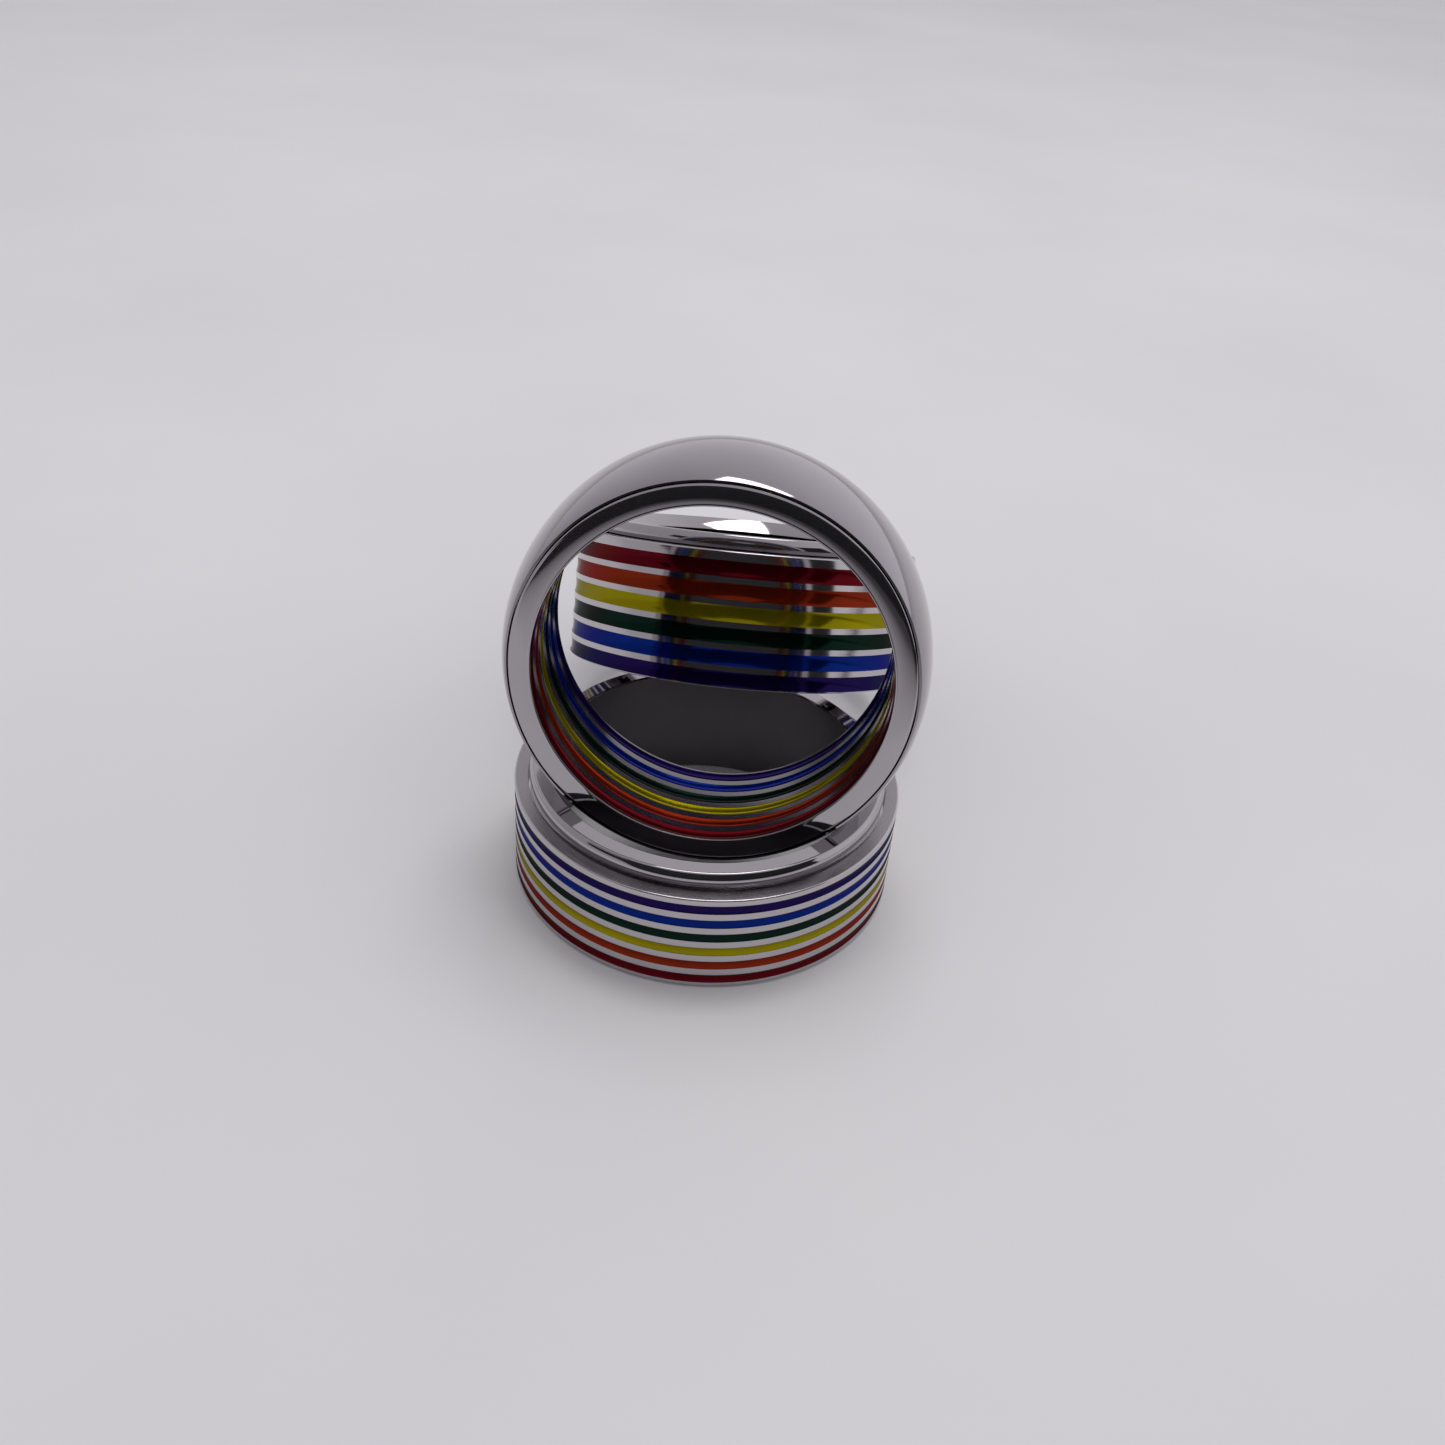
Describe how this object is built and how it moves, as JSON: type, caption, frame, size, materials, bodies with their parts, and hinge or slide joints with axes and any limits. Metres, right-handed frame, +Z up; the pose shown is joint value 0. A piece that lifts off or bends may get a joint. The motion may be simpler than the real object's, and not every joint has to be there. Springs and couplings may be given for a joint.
{
  "type": "spinner ring stack",
  "caption": "Stack of polished steel fidget rings with rainbow enamel stripes, lying flat, standing across the bore and leaning behind; every outer band is modelled to spin on its sleeve.",
  "frame": {"origin": "on the table, under the middle of the stack's footprint", "axes": "+Z up, front towards -Y, the leaning ring at the back"},
  "size_m": [0.025, 0.0412, 0.0277],
  "materials": {
    "polished_steel": "mirror-polished stainless steel",
    "domed_steel": "polished stainless steel dome",
    "striped_band_steel": "polished strips between the stripes, circular-brushed end faces",
    "enamel_red": "glossy enamel, slightly dished",
    "enamel_orange": "glossy enamel, slightly dished",
    "enamel_yellow": "glossy enamel, slightly dished",
    "enamel_green": "glossy enamel, slightly dished",
    "enamel_blue": "glossy enamel, slightly dished",
    "enamel_purple": "glossy enamel, slightly dished"
  },
  "bodies": {
    "flat_sleeve": {"flat_ring_sleeve": "polished_steel"},
    "flat_spinner": {"flat_ring_band": "striped_band_steel", "flat_ring_enamel_red": "enamel_red", "flat_ring_enamel_orange": "enamel_orange", "flat_ring_enamel_yellow": "enamel_yellow", "flat_ring_enamel_green": "enamel_green", "flat_ring_enamel_blue": "enamel_blue", "flat_ring_enamel_purple": "enamel_purple"},
    "domed_sleeve": {"domed_ring_sleeve": "polished_steel", "domed_ring_enamel_red": "enamel_red", "domed_ring_enamel_orange": "enamel_orange", "domed_ring_enamel_yellow": "enamel_yellow", "domed_ring_enamel_green": "enamel_green", "domed_ring_enamel_blue": "enamel_blue", "domed_ring_enamel_purple": "enamel_purple"},
    "domed_spinner": {"domed_ring_band": "domed_steel"},
    "leaning_sleeve": {"leaning_ring_sleeve": "polished_steel"},
    "leaning_spinner": {"leaning_ring_band": "striped_band_steel", "leaning_ring_enamel_red": "enamel_red", "leaning_ring_enamel_orange": "enamel_orange", "leaning_ring_enamel_yellow": "enamel_yellow", "leaning_ring_enamel_green": "enamel_green", "leaning_ring_enamel_blue": "enamel_blue", "leaning_ring_enamel_purple": "enamel_purple"}
  },
  "joints": [
    {"name": "flat_spin", "type": "hinge", "parent": "flat_sleeve", "child": "flat_spinner", "pos_m": [-0.00047, -0.00896, 0.00335], "axis": [0, 0, 1], "continuous": true},
    {"name": "domed_lift", "type": "slide", "parent": "flat_sleeve", "child": "domed_sleeve", "axis": [0, 0, 1], "range_m": [0, 0.025]},
    {"name": "domed_spin", "type": "hinge", "parent": "domed_sleeve", "child": "domed_spinner", "pos_m": [-0.00042, -0.0098, 0.01565], "axis": [0.0606, 0.9903, -0.1253], "continuous": true},
    {"name": "leaning_lift", "type": "slide", "parent": "flat_sleeve", "child": "leaning_sleeve", "axis": [0, 0, 1], "range_m": [0, 0.03]},
    {"name": "leaning_spin", "type": "hinge", "parent": "leaning_sleeve", "child": "leaning_spinner", "pos_m": [0.00082, 0.00828, 0.00866], "axis": [0.0122, 0.4067, 0.9135], "continuous": true}
  ]
}
